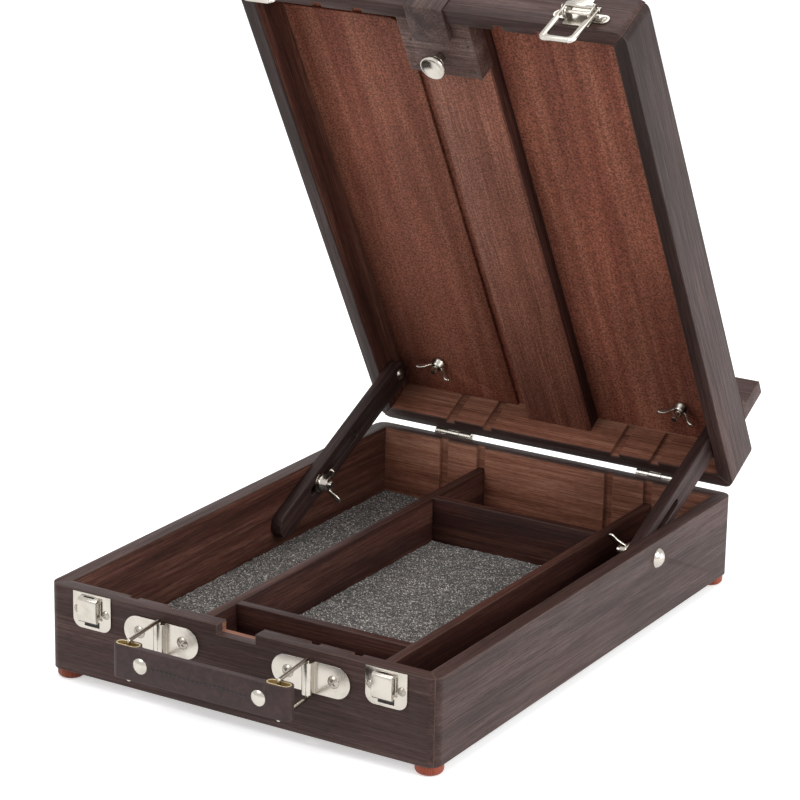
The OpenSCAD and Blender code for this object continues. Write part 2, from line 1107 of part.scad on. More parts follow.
module stay_right() {
    stay(1);
}

// Screw at the lid end of a stay
module stay_screw(s) {
    face = in_x - stay_gap - stay_t;
    color(nickel)
        centred()
        translate([0, rest_y, rest_z]) {
            cyl_x(2.2, s * (in_x - 0.2), s * face);
            difference() {
                dome_x(4.2, s * face, 2.2, -s);
                translate([s * (face - 2.4), 0, 0])
                    cube([2.4, 9, 1], center = true);
            }
        }
}

module stay_screw_left() {
    stay_screw(-1);
}

module stay_screw_right() {
    stay_screw(1);
}

// Wing nut, bore along +z, wings rising from its hub
module wing_nut(bore) {
    difference() {
        union() {
            cylinder(r = bore + 3.4, h = 2.4);
            cylinder(r = bore + 2.2, h = 6);
            for (s = [-1, 1])
                translate([s * (bore + 0.6), 0, 1.2])
                    rotate([0, s * 52, 0])
                        translate([-0.9, -3.6, 0])
                            cube([1.8, 7.2, 14.5]);
        }
        translate([0, 0, -1])
            cylinder(r = bore, h = 20);
        translate([0, 0, -4])
            cylinder(r = 14, h = 4);
    }
}

module wing_nut_stay(s) {
    color(nickel)
        centred()
        translate([s * (in_x - stay_gap - stay_t - 1.4), bolt_y, bolt_z])
            rotate([0, -s * 90, 0])
                rotate([0, 0, 10])
                    wing_nut(bolt_r + 0.06);
}

module wing_nut_stay_left() {
    wing_nut_stay(-1);
}

module wing_nut_stay_right() {
    wing_nut_stay(1);
}

module wing_nut_ledge(s, z, turn) {
    color(nickel)
        centred()
        lid_pose()
            translate([s * ledge_bolt_x, ledge_y, z])
                rotate([180, 0, 0])
                    rotate([0, 0, turn])
                        wing_nut(ledge_bolt_r + 0.06);
}

module wing_nut_ledge_left() {
    wing_nut_ledge(-1, lid_z + inner_h - lining_t - 0.2, 12);
}

module wing_nut_ledge_right() {
    wing_nut_ledge(1, lid_z + inner_h - 0.2, 20);
}

base_front_wall();
base_back_wall();
base_left_wall();
base_right_wall();
base_panel();
base_feet();
divider_left();
divider_right();
divider_rear();
divider_front();
foam_left();
foam_middle();
keepers();
keeper_screws();
handle_brackets();
bracket_screws();
hinge_base_leaves();
hinge_pins();
hinge_base_screws();
lid_top_wall();
lid_bottom_wall();
lid_left_wall();
lid_right_wall();
lid_panel();
lid_lining();
mast_rails();
mast_cover();
clamp_block();
clamp_nails();
hinge_lid_leaves();
hinge_lid_screws();
latch_base_left();
latch_base_right();
latch_screws();
canvas_ledge();
ledge_bolts();
mast();
mast_head();
thumb_screw();
latch_lever_left();
latch_lever_right();
latch_rivets_left();
latch_rivets_right();
latch_bail_left();
latch_bail_right();
handle_bail_left();
handle_bail_right();
handle_grip();
handle_liners();
handle_rivets();
stay_bolt_left();
stay_bolt_right();
stay_left();
stay_right();
stay_screw_left();
stay_screw_right();
wing_nut_stay_left();
wing_nut_stay_right();
wing_nut_ledge_left();
wing_nut_ledge_right();
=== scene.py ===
import json
import math

import bmesh
import bpy
from mathutils import Matrix, Vector


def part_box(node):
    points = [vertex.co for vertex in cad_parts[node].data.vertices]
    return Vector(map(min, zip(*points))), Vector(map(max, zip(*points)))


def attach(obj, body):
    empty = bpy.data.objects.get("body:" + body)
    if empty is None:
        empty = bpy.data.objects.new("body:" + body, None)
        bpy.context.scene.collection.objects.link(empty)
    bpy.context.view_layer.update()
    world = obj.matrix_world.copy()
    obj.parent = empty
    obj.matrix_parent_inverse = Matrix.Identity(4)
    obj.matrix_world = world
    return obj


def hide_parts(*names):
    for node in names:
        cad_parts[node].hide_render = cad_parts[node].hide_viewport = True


bl_info = {
    "name": "Pochade box",
    "version": (1, 0, 0),
    "blender": (4, 5, 0),
    "location": "View3D > Sidebar > Pochade box",
    "description": "Builds the boards, fittings, foam and handle of a wooden sketch box",
    "category": "Object",
}

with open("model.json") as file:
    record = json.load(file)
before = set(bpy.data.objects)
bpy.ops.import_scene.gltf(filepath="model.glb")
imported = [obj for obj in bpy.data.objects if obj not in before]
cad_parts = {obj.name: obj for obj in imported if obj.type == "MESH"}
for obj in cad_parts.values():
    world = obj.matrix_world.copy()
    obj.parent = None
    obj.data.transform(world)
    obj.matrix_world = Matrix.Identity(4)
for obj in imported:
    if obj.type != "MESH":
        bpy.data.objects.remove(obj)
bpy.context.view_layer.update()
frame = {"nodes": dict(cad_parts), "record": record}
NODES = frame["nodes"]
JOINTS = {j["name"]: j for j in frame["record"]["behaviour"]["joints"]}

# The lid stands open by this much, about the hinge pins, in the rest pose.
HINGE = Vector(JOINTS["lid_hinge"]["pos_m"])
LID_OPEN = -math.radians(JOINTS["lid_hinge"]["range_deg"][0])
TO_CLOSED = (Matrix.Translation(HINGE) @ Matrix.Rotation(LID_OPEN, 4, "X")
             @ Matrix.Translation(-HINGE))
# Turns a piece drawn upwards so that it points out of the open lid's inner face.
OUT_OF_LID = (TO_CLOSED.inverted().to_3x3() @ Matrix.Rotation(math.pi, 3, "X")).to_4x4()
# Turns an outline drawn in X and Y upright, into X and Z.
UPRIGHT = Matrix.Rotation(math.pi / 2, 4, "X")

# Half width and half depth of the case, inside its walls, and its middle along Y.
IN_X = 0.125
IN_Y = 0.178
MID_Y = (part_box("base_front_wall")[0].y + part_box("base_back_wall")[1].y) / 2


# ---------------------------------------------------------------- settings

class BoardSizes(bpy.types.PropertyGroup):
    edge: bpy.props.FloatProperty(
        name="Board edge", description="Radius worn onto the edges of the boards",
        default=0.0007, min=0.0001, max=0.003, unit="LENGTH")
    small_edge: bpy.props.FloatProperty(
        name="Divider edge", description="Radius on the edges of thin boards",
        default=0.0004, min=0.0001, max=0.002, unit="LENGTH")


class FoamSizes(bpy.types.PropertyGroup):
    grain: bpy.props.FloatProperty(
        name="Foam grain", description="Spacing of the crumbs on the foam liners",
        default=0.0021, min=0.001, max=0.005, unit="LENGTH")
    relief: bpy.props.FloatProperty(
        name="Foam relief", description="Height of the crumbs on the foam liners",
        default=0.0004, min=0.0001, max=0.001, unit="LENGTH")


class HandleSizes(bpy.types.PropertyGroup):
    stitch: bpy.props.FloatProperty(
        name="Stitch length", description="Length of one stitch along the handle",
        default=0.0023, min=0.001, max=0.005, unit="LENGTH")
    thread: bpy.props.FloatProperty(
        name="Thread", description="Thickness of the stitching thread",
        default=0.0013, min=0.0003, max=0.0015, unit="LENGTH")


def board_sizes():
    return bpy.context.scene.case_boards


def foam_sizes():
    return bpy.context.scene.case_foam


def handle_sizes():
    return bpy.context.scene.case_handle


# ---------------------------------------------------------------- materials

def srgb(code):
    """A hex colour as linear values, the way a shader takes them."""
    out = []
    for i in (0, 2, 4):
        c = int(code[i:i + 2], 16) / 255
        out.append(c / 12.92 if c <= 0.04045 else ((c + 0.055) / 1.055) ** 2.4)
    return (*out, 1.0)


def add_node(tree, kind, settings=None, values=None, links=None):
    """Adds a node, sets its properties and values, and links its inputs."""
    node = tree.nodes.new(kind)
    for key, value in (settings or {}).items():
        setattr(node, key, value)
    for key, value in (values or {}).items():
        node.inputs[key].default_value = value
    for key, source in (links or {}).items():
        tree.links.new(source, node.inputs[key])
    return node


def set_ramp(node, stops):
    """Sets a colour ramp to (place, hex colour) stops."""
    ramp = node.color_ramp
    stops = list(stops)
    while len(ramp.elements) > len(stops):
        ramp.elements.remove(ramp.elements[-1])
    while len(ramp.elements) < len(stops):
        ramp.elements.new(0.5)
    for element, (at, code) in zip(ramp.elements, stops):
        element.position = at
        element.color = srgb(code)


def new_finish(name):
    mat = bpy.data.materials.new(name)
    mat.use_nodes = True
    tree = mat.node_tree
    tree.nodes.clear()
    out = add_node(tree, "ShaderNodeOutputMaterial")
    bsdf = add_node(tree, "ShaderNodeBsdfPrincipled")
    tree.links.new(bsdf.outputs[0], out.inputs[0])
    return mat, tree, bsdf


def near_edge(tree, radius, start, end, most):
    """How near an edge is, from 0 to most, and the rounded normal. An edge is near
    where the rounded normal leaves the true one."""
    soft = add_node(tree, "ShaderNodeBevel", {"samples": 4}, {"Radius": radius})
    geo = add_node(tree, "ShaderNodeNewGeometry")
    near = add_node(tree, "ShaderNodeVectorMath", {"operation": "DOT_PRODUCT"}, None,
                    {0: soft.outputs[0], 1: geo.outputs["Normal"]})
    edge = add_node(tree, "ShaderNodeMapRange", None,
                    {"From Min": start, "From Max": end, "To Max": most},
                    {"Value": near.outputs["Value"]})
    return edge.outputs[0], soft.outputs[0]


def seen_directly(tree):
    """1 for rays from the camera, in mirror images and through glass, else 0."""
    path = add_node(tree, "ShaderNodeLightPath")
    seen = add_node(tree, "ShaderNodeMath", {"operation": "ADD", "use_clamp": True},
                    None, {0: path.outputs["Is Camera Ray"],
                           1: path.outputs["Is Glossy Ray"]})
    return add_node(tree, "ShaderNodeMath", {"operation": "ADD", "use_clamp": True},
                    None, {0: seen.outputs[0],
                           1: path.outputs["Is Transmission Ray"]}).outputs[0]


def grey(v):
    return (v, v, v, 1.0)


FINISHES = {}
# Painted shade on the side walls deepens between these distances before and behind the
# middle.
PAINTED_SHADE_Y = 0.17


def stained_wood(name, colours, along="X", lid=False, inside=None, rough=0.5,
                 wear="8A7668", streaks=1.0, turn=0.0, speckle=0.0, pore=0.38,
                 speck_scale=900.0, painted_shade_level=1.0):
    """Open-pored beech or elm under dark stain and a thin satin oil. It shows long
    brown and black streaks, short dark pores along the grain and paler, rubbed edges.
    colours are the dark, middle and light of the outside, inside those of the inner
    faces of a wall, which took a redder stain."""
    if name in FINISHES:
        return FINISHES[name]
    mat, tree, bsdf = new_finish(name)
    coord = add_node(tree, "ShaderNodeTexCoord")
    place = coord.outputs["Object"]
    if lid:
        # Turns the open lid back onto the closed case, so its grain follows the boards.
        place = add_node(tree, "ShaderNodeMapping", None,
                         {"Location": TO_CLOSED.to_translation(),
                          "Rotation": (LID_OPEN, 0, 0)}, {"Vector": place}).outputs[0]
    if turn:
        place = add_node(tree, "ShaderNodeMapping", None,
                         {"Rotation": (turn, 0, 0)}, {"Vector": place}).outputs[0]

    def stretch(length, across, offset=0.0):
        """Coordinates in grain widths across and grain lengths along the board."""
        scale = [1 / across] * 3
        scale["XYZ".index(along)] = 1 / length
        return add_node(tree, "ShaderNodeMapping", None,
                        {"Scale": scale, "Location": (offset, offset * 0.7, offset * 0.3)},
                        {"Vector": place}).outputs[0]

    # Broad bands: one growth band in 12 mm across, drawn out to 300 mm.
    bands = add_node(tree, "ShaderNodeTexNoise", None,
                     {"Scale": 1.0, "Detail": 3.0, "Roughness": 0.55, "Distortion": 0.4},
                     {"Vector": stretch(0.30, 0.012)})
    # Streaks: 1.1 mm across and 50 mm long.
    streak = add_node(tree, "ShaderNodeTexNoise", None,
                      {"Scale": 1.0, "Detail": 5.0, "Roughness": 0.65, "Distortion": 0.25},
                      {"Vector": stretch(0.05, 0.0011, 3.1)})
    # Pores: 0.5 mm across and 7 mm long, a little coarser than the real ones to show.
    pores = add_node(tree, "ShaderNodeTexNoise", None,
                     {"Scale": 1.0, "Detail": 2.0, "Roughness": 0.6},
                     {"Vector": stretch(0.007, 0.0005, 7.7)})
    streak_share = 0.55 * streaks
    banding = add_node(tree, "ShaderNodeMath", {"operation": "MULTIPLY"},
                       {1: 1.0 - streak_share}, {0: bands.outputs["Fac"]})
    mix = add_node(tree, "ShaderNodeMath", {"operation": "MULTIPLY_ADD"},
                   {1: streak_share}, {0: streak.outputs["Fac"], 2: banding.outputs[0]})
    tone = add_node(tree, "ShaderNodeMapRange", None,
                    {"From Min": 0.36, "From Max": 0.64}, {"Value": mix.outputs[0]})

    def shades(three):
        ramp = add_node(tree, "ShaderNodeValToRGB", None, None, {"Fac": tone.outputs[0]})
        set_ramp(ramp, zip((0.0, 0.5, 1.0), three))
        return ramp.outputs["Color"]

    multiply = {"data_type": "RGBA", "blend_type": "MULTIPLY"}
    axis = add_node(tree, "ShaderNodeSeparateXYZ", None, None, {"Vector": place})
    colour = shades(colours)
    if painted_shade_level < 1.0:
        # Painted shade: the outer colour is darker at the front end of a board than at the
        # hinge end, that is towards the top of the open lid, where less light falls.
        depth = add_node(tree, "ShaderNodeMapRange", None,
                         {"From Min": -PAINTED_SHADE_Y, "From Max": PAINTED_SHADE_Y, "To Min": painted_shade_level},
                         {"Value": axis.outputs["Y"]})
        painted_shade_mix = add_node(tree, "ShaderNodeMix", multiply, {"Factor": 1.0},
                          {"A": colour, "B": depth.outputs[0]})
        colour = painted_shade_mix.outputs["Result"]
    if inside:
        # A wall's inner face lies at the half width or half depth inside the case. The
        # rims, just below and above the hinge pins' height, keep the outer stain.
        redder = None
        for letter, middle, outer, inner in (
                ("X", 0.0, IN_X + 0.0012, IN_X + 0.0004),
                ("Y", MID_Y, IN_Y + 0.0042, IN_Y + 0.0034),
                ("Z", HINGE.z, 0.0007, 0.0014)):
            off = add_node(tree, "ShaderNodeMath", {"operation": "SUBTRACT"},
                           {1: middle}, {0: axis.outputs[letter]})
            far = add_node(tree, "ShaderNodeMath", {"operation": "ABSOLUTE"}, None,
                           {0: off.outputs[0]})
            within = add_node(tree, "ShaderNodeMapRange", None,
                              {"From Min": outer, "From Max": inner},
                              {"Value": far.outputs[0]})
            redder = within if redder is None else add_node(
                tree, "ShaderNodeMath", {"operation": "MULTIPLY"}, None,
                {0: redder.outputs[0], 1: within.outputs[0]})
        blend = add_node(tree, "ShaderNodeMix", {"data_type": "RGBA"}, None,
                         {"Factor": redder.outputs[0], "A": colour, "B": shades(inside)})
        colour = blend.outputs["Result"]

    # Pores hold more stain, so they read darker.
    dark = add_node(tree, "ShaderNodeMapRange", None,
                    {"From Min": 0.40, "From Max": 0.52, "To Min": 1.0 - pore},
                    {"Value": pores.outputs["Fac"]})
    holes = add_node(tree, "ShaderNodeMix", multiply, {"Factor": 0.85},
                     {"A": colour, "B": dark.outputs[0]})
    # The stain took unevenly over a hand's breadth.
    cloud = add_node(tree, "ShaderNodeTexNoise", None,
                     {"Scale": 1.0, "Detail": 2.0, "Roughness": 0.5},
                     {"Vector": stretch(0.14, 0.045, 5.3)})
    level = add_node(tree, "ShaderNodeMapRange", None,
                     {"From Min": 0.35, "From Max": 0.65, "To Min": 0.78, "To Max": 1.14},
                     {"Value": cloud.outputs["Fac"]})
    uneven = add_node(tree, "ShaderNodeMix", multiply, {"Factor": 1.0},
                      {"A": holes.outputs["Result"], "B": level.outputs[0]})
    colour = uneven.outputs["Result"]
    if speckle:
        # Sanding fibres that took the stain unevenly, about 1 mm apart.
        specks = add_node(tree, "ShaderNodeTexNoise", None,
                          {"Scale": speck_scale, "Detail": 3.0, "Roughness": 0.7},
                          {"Vector": place})
        amount = add_node(tree, "ShaderNodeMapRange", None,
                          {"From Min": 0.38, "From Max": 0.62, "To Min": 1.0 - speckle,
                           "To Max": 1.0 + speckle * 0.8}, {"Value": specks.outputs["Fac"]})
        fibres = add_node(tree, "ShaderNodeMix", multiply, {"Factor": 1.0},
                          {"A": colour, "B": amount.outputs[0]})
        colour = fibres.outputs["Result"]

    # Wear: edges are rubbed paler in patches about 17 mm across.
    edge, soft = near_edge(tree, 0.0011, 0.985, 0.86, 0.75)
    patchy = add_node(tree, "ShaderNodeTexNoise", None,
                      {"Scale": 60.0, "Detail": 4.0, "Roughness": 0.6}, {"Vector": place})
    rubbed = add_node(tree, "ShaderNodeMath", {"operation": "MULTIPLY"}, None,
                      {0: edge, 1: patchy.outputs["Fac"]})
    worn = add_node(tree, "ShaderNodeMix", {"data_type": "RGBA"}, {"B": srgb(wear)},
                    {"Factor": rubbed.outputs[0], "A": colour})
    tree.links.new(worn.outputs["Result"], bsdf.inputs["Base Color"])

    # Satin oil: a little glossier on the hard streaks than in the pores.
    shine = add_node(tree, "ShaderNodeMapRange", None,
                     {"From Min": 0.3, "From Max": 0.7, "To Min": rough + 0.10,
                      "To Max": rough - 0.08}, {"Value": streak.outputs["Fac"]})
    tree.links.new(shine.outputs[0], bsdf.inputs["Roughness"])
    height = add_node(tree, "ShaderNodeMath", {"operation": "MULTIPLY_ADD"}, {1: 0.6},
                      {0: dark.outputs[0], 2: streak.outputs["Fac"]})
    bump = add_node(tree, "ShaderNodeBump", None, {"Strength": 0.35, "Distance": 0.0003},
                    {"Height": height.outputs[0], "Normal": soft})
    tree.links.new(bump.outputs[0], bsdf.inputs["Normal"])
    bsdf.inputs["Specular IOR Level"].default_value = 0.2
    FINISHES[name] = mat
    return mat


def plated_metal(name, colour="BDB7AE", rough=0.2, tarnish="8E8578", wear=0.3):
    """Nickel plating on pressed steel: bright and slightly warm, with fine rubbing
    marks and a duller film in cloudy patches about 11 mm across."""
    if name in FINISHES:
        return FINISHES[name]
    mat, tree, bsdf = new_finish(name)
    place = add_node(tree, "ShaderNodeTexCoord").outputs["Object"]
    cloud = add_node(tree, "ShaderNodeTexNoise", None,
                     {"Scale": 90.0, "Detail": 3.0, "Roughness": 0.5}, {"Vector": place})
    fine = add_node(tree, "ShaderNodeTexNoise", None,
                    {"Scale": 2200.0, "Detail": 2.0, "Roughness": 0.6}, {"Vector": place})
    film = add_node(tree, "ShaderNodeMapRange", None,
                    {"From Min": 0.48, "From Max": 0.72, "To Max": wear},
                    {"Value": cloud.outputs["Fac"]})
    tint = add_node(tree, "ShaderNodeMix", {"data_type": "RGBA"},
                    {"A": srgb(colour), "B": srgb(tarnish)}, {"Factor": film.outputs[0]})
    tree.links.new(tint.outputs["Result"], bsdf.inputs["Base Color"])
    bsdf.inputs["Metallic"].default_value = 1.0
    gloss = add_node(tree, "ShaderNodeMapRange", None,
                     {"From Min": 0.35, "From Max": 0.7, "To Min": rough * 0.85,
                      "To Max": rough * 1.35}, {"Value": cloud.outputs["Fac"]})
    tree.links.new(gloss.outputs[0], bsdf.inputs["Roughness"])
    soft = add_node(tree, "ShaderNodeBevel", {"samples": 4}, {"Radius": 0.00035})
    bump = add_node(tree, "ShaderNodeBump", None, {"Strength": 0.05, "Distance": 0.0001},
                    {"Height": fine.outputs["Fac"], "Normal": soft.outputs[0]})
    tree.links.new(bump.outputs[0], bsdf.inputs["Normal"])
    FINISHES[name] = mat
    return mat


def crumb_foam(name):
    """Bonded foam crumb under flecked felt: grey with black and near-white grains
    about 1 mm across, fully matte."""
    if name in FINISHES:
        return FINISHES[name]
    mat, tree, bsdf = new_finish(name)
    place = add_node(tree, "ShaderNodeTexCoord").outputs["Object"]
    grain = add_node(tree, "ShaderNodeTexVoronoi", {"feature": "F1"},
                     {"Scale": 1500.0, "Randomness": 1.0}, {"Vector": place})
    pick = add_node(tree, "ShaderNodeSeparateColor", None, None,
                    {"Color": grain.outputs["Color"]})
    cloud = add_node(tree, "ShaderNodeTexNoise", None,
                     {"Scale": 35.0, "Detail": 3.0}, {"Vector": place})
    fleck = add_node(tree, "ShaderNodeValToRGB", None, None, {"Fac": pick.outputs[0]})
    set_ramp(fleck, [(0.0, "0D0C0C"), (0.34, "2A2725"), (0.64, "55504B"),
                     (0.86, "86807A"), (1.0, "F2EEE6")])
    dust = add_node(tree, "ShaderNodeMapRange", None,
                    {"From Min": 0.35, "From Max": 0.65, "To Min": 0.82, "To Max": 1.08},
                    {"Value": cloud.outputs["Fac"]})
    shade = add_node(tree, "ShaderNodeMix", {"data_type": "RGBA", "blend_type": "MULTIPLY"},
                     {"Factor": 1.0}, {"A": fleck.outputs["Color"], "B": dust.outputs[0]})
    tree.links.new(shade.outputs["Result"], bsdf.inputs["Base Color"])
    matte = add_node(tree, "ShaderNodeMapRange", None,
                     {"To Min": 0.85, "To Max": 1.0}, {"Value": pick.outputs[1]})
    tree.links.new(matte.outputs[0], bsdf.inputs["Roughness"])
    bump = add_node(tree, "ShaderNodeBump", None, {"Strength": 0.9, "Distance": 0.0005},
                    {"Height": grain.outputs["Distance"]})
    tree.links.new(bump.outputs[0], bsdf.inputs["Normal"])
    bsdf.inputs["Sheen Weight"].default_value = 0.15
    FINISHES[name] = mat
    return mat


def strap_leather(name, colours=("291C1B", "3A2A29", "493938"), rough=0.5):
    """Vegetable-tanned strap leather, dyed dark brown and waxed: fine pebbled grain,
    creases where it bends and paler, burnished edges."""
    if name in FINISHES:
        return FINISHES[name]
    mat, tree, bsdf = new_finish(name)
    place = add_node(tree, "ShaderNodeTexCoord").outputs["Object"]
    pebble = add_node(tree, "ShaderNodeTexVoronoi", {"feature": "F1"},
                      {"Scale": 1100.0, "Randomness": 0.9}, {"Vector": place})
    crease = add_node(tree, "ShaderNodeTexNoise", None,
                      {"Scale": 160.0, "Detail": 6.0, "Roughness": 0.65, "Distortion": 0.8},
                      {"Vector": place})
    tone = add_node(tree, "ShaderNodeValToRGB", None, None, {"Fac": crease.outputs["Fac"]})
    set_ramp(tone, zip((0.30, 0.52, 0.78), colours))
    edge, soft = near_edge(tree, 0.0012, 0.98, 0.85, 0.25)
    worn = add_node(tree, "ShaderNodeMix", {"data_type": "RGBA"}, {"B": srgb("7A6A66")},
                    {"Factor": edge, "A": tone.outputs["Color"]})
    tree.links.new(worn.outputs["Result"], bsdf.inputs["Base Color"])
    shine = add_node(tree, "ShaderNodeMapRange", None,
                     {"From Min": 0.3, "From Max": 0.7, "To Min": rough - 0.08,
                      "To Max": rough + 0.14}, {"Value": crease.outputs["Fac"]})
    tree.links.new(shine.outputs[0], bsdf.inputs["Roughness"])
    bsdf.inputs["Specular IOR Level"].default_value = 0.25
    height = add_node(tree, "ShaderNodeMath", {"operation": "MULTIPLY_ADD"}, {1: 0.5},
                      {0: pebble.outputs["Distance"], 2: crease.outputs["Fac"]})
    bump = add_node(tree, "ShaderNodeBump", None, {"Strength": 0.35, "Distance": 0.0003},
                    {"Height": height.outputs[0], "Normal": soft})
    tree.links.new(bump.outputs[0], bsdf.inputs["Normal"])
    FINISHES[name] = mat
    return mat


def waxed_thread(name):
    """Waxed linen thread, near black, with a twisted lay that breaks its gloss."""
    if name in FINISHES:
        return FINISHES[name]
    mat, tree, bsdf = new_finish(name)
    place = add_node(tree, "ShaderNodeTexCoord").outputs["Object"]
    lay = add_node(tree, "ShaderNodeTexNoise", None,
                   {"Scale": 3000.0, "Detail": 2.0}, {"Vector": place})
    tone = add_node(tree, "ShaderNodeValToRGB", None, None, {"Fac": lay.outputs["Fac"]})
    set_ramp(tone, [(0.35, "050404"), (0.65, "0E0B0A")])
    tree.links.new(tone.outputs["Color"], bsdf.inputs["Base Color"])
    gloss = add_node(tree, "ShaderNodeMapRange", None,
                     {"To Min": 0.45, "To Max": 0.7}, {"Value": lay.outputs["Fac"]})
    tree.links.new(gloss.outputs[0], bsdf.inputs["Roughness"])
    bump = add_node(tree, "ShaderNodeBump", None, {"Strength": 0.4, "Distance": 0.0002},
                    {"Height": lay.outputs["Fac"]})
    tree.links.new(bump.outputs[0], bsdf.inputs["Normal"])
    FINISHES[name] = mat
    return mat


# The stains, each as dark, middle and light: outside, inner faces of the side walls and
# of the end walls, dividers, stays, lid panel, mast cover, clamp block, mast head, feet.
# The end walls' inner colours are a lighter, lit copy of the inner stain: painted light.
OUTER = ("2C1D1A", "402C28", "56423F")
INNER = ("331C16", "543229", "7A5547")
# Painted light: a lighter copy of the inner stain for the inner faces of the end walls.
INNER_END_LIT = ("5C3729", "8C5A47", "AC7F69")
REDDISH = ("251513", "3D231E", "5C3B32")
BLACKISH = ("1D1210", "32211E", "503B36")
PANEL = ("7C4537", "8E5644", "9F6652")
COVER = ("6C4335", "875545", "9C6C5B")
CLAMP = ("44302A", "69504A", "86706A")
HEAD = ("2E2322", "4C3A36", "6B554F")
FEET = ("6E2F20", "8C4330", "A65A43")
NICKEL = "Bright nickel plate"


# ---------------------------------------------------------------- modelling helpers

def clear_selection():
    if bpy.context.object and bpy.context.object.mode != "OBJECT":
        bpy.ops.object.mode_set(mode="OBJECT")
    bpy.ops.object.select_all(action="DESELECT")


def make_active(obj):
    clear_selection()
    obj.hide_viewport = False
    obj.select_set(True)
    bpy.context.view_layer.objects.active = obj
    return obj


def edit_all(obj):
    """Opens a piece in edit mode with all of it selected."""
    make_active(obj)
    bpy.ops.object.mode_set(mode="EDIT")
    bpy.ops.mesh.select_all(action="SELECT")


def settle(obj, name, matrix=None):
    """Names a piece and puts its place into its mesh."""
    obj.name = name
    obj.data.name = name
    if matrix is not None:
        obj.matrix_world = matrix @ obj.matrix_world
    make_active(obj)
    bpy.ops.object.transform_apply(location=True, rotation=True, scale=True)
    return obj


def join(objs, name):
    clear_selection()
    for o in objs:
        o.select_set(True)
    bpy.context.view_layer.objects.active = objs[0]
    bpy.ops.object.join()
    objs[0].name = name
    objs[0].data.name = name
    return objs[0]


def apply_modifiers(obj):
    make_active(obj)
    for mod in list(obj.modifiers):
        bpy.ops.object.modifier_apply(modifier=mod.name)
    return obj


def mm(points):
    """Points given in millimetres, in metres."""
    return [(a / 1000, b / 1000) for a, b in points]


def arc(x, y, radius, start, sweep, steps, squash=1.0):
    """Points on an arc about a centre, from a start angle through a sweep."""
    angles = [start + sweep * i / steps for i in range(steps + 1)]
    return [(x + radius * math.cos(a) * squash, y + radius * math.sin(a)) for a in angles]


def mirrored(points):
    """The other half of an outline that is alike left and right."""
    return [(-x, y) for x, y in reversed(points)]


def round_edges(obj, width, segments=2, angle=30):
    mod = obj.modifiers.new("Edges", "BEVEL")
    mod.width = width
    mod.segments = segments
    mod.limit_method = "ANGLE"
    mod.angle_limit = math.radians(angle)
    return apply_modifiers(obj)


def cut(target, cutter):
    """Takes one closed shape out of another and removes the cutting shape."""
    mod = target.modifiers.new("Cut", "BOOLEAN")
    mod.operation = "DIFFERENCE"
    mod.solver = "EXACT"
    mod.object = cutter
    apply_modifiers(target)
    bpy.data.objects.remove(cutter)


def smooth(obj, angle=35):
    make_active(obj)
    bpy.ops.object.shade_smooth_by_angle(angle=math.radians(angle))
    return obj


def paint(obj, mat):
    obj.data.materials.clear()
    obj.data.materials.append(mat)
    return obj


def recalc(obj):
    """Merges doubles and points all faces outwards."""
    edit_all(obj)
    bpy.ops.mesh.remove_doubles(threshold=0.00001)
    bpy.ops.mesh.normals_make_consistent(inside=False)
    bpy.ops.object.mode_set(mode="OBJECT")
    return obj


def block(name, low, high):
    """A box between two corners, ready to be shaped."""
    clear_selection()
    low, high = Vector(low), Vector(high)
    bpy.ops.mesh.primitive_cube_add(size=1, location=(low + high) / 2)
    obj = bpy.context.object
    obj.scale = high - low
    return settle(obj, name)


def turned(name, profile, steps=40):
    """A turned shape about +Z from (radius, height) points, bottom to top."""
    clear_selection()
    bpy.ops.mesh.primitive_plane_add(size=0.001)
    obj = bpy.context.object
    mesh = bmesh.new()
    points = [mesh.verts.new((r, 0, z)) for r, z in profile]
    for a, b in zip(points, points[1:]):
        mesh.edges.new((a, b))
    mesh.to_mesh(obj.data)
    mesh.free()
    edit_all(obj)
    bpy.ops.mesh.spin(steps=steps, angle=2 * math.pi, center=(0, 0, 0), axis=(0, 0, 1))
    bpy.ops.mesh.select_all(action="SELECT")
    bpy.ops.mesh.remove_doubles(threshold=0.00002)
    bpy.ops.mesh.normals_make_consistent(inside=False)
    bpy.ops.object.mode_set(mode="OBJECT")
    obj.name = name
    return obj


def bar_profile(points, name, depth):
    """A flat outline in X and Y, filled and drawn up to the given height."""
    clear_selection()
    bpy.ops.mesh.primitive_plane_add(size=0.001)
    obj = bpy.context.object
    mesh = bmesh.new()
    mesh.faces.new([mesh.verts.new((x, y, 0)) for x, y in points])
    mesh.to_mesh(obj.data)
    mesh.free()
    edit_all(obj)
    bpy.ops.mesh.extrude_region_move(TRANSFORM_OT_translate={"value": (0, 0, depth)})
    bpy.ops.mesh.select_all(action="SELECT")
    bpy.ops.mesh.normals_make_consistent(inside=False)
    bpy.ops.object.mode_set(mode="OBJECT")
    obj.name = name
    return obj


def duplicate(obj, name, matrix=None):
    copy = obj.copy()
    copy.data = obj.data.copy()
    bpy.context.collection.objects.link(copy)
    return settle(copy, name, matrix)


def rounded_copy(node, name, width, mat, body, segments=2):
    """The CAD piece again with the worn, rounded edges that a saw-cut board has."""
    src = NODES[node]
    obj = bpy.data.objects.new(name, src.data.copy())
    bpy.context.collection.objects.link(obj)
    edit_all(obj)
    bpy.ops.mesh.remove_doubles(threshold=0.000004)
    bpy.ops.mesh.dissolve_limited(angle_limit=math.radians(1.0))
    bpy.ops.object.mode_set(mode="OBJECT")
    round_edges(obj, width, segments)
    smooth(obj, 32)
    paint(obj, mat)
    stand_in(obj, body, node)


def stand_in(obj, body, node):
    """A finished piece takes the place of a CAD node and moves with its body."""
    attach(obj, body)
    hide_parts(node)


def reach_along(node, at, axis):
    """How far a node's solid starts and ends along an axis through a point."""
    reach = [(v.co - at).dot(axis) for v in NODES[node].data.vertices]
    return min(reach), max(reach)


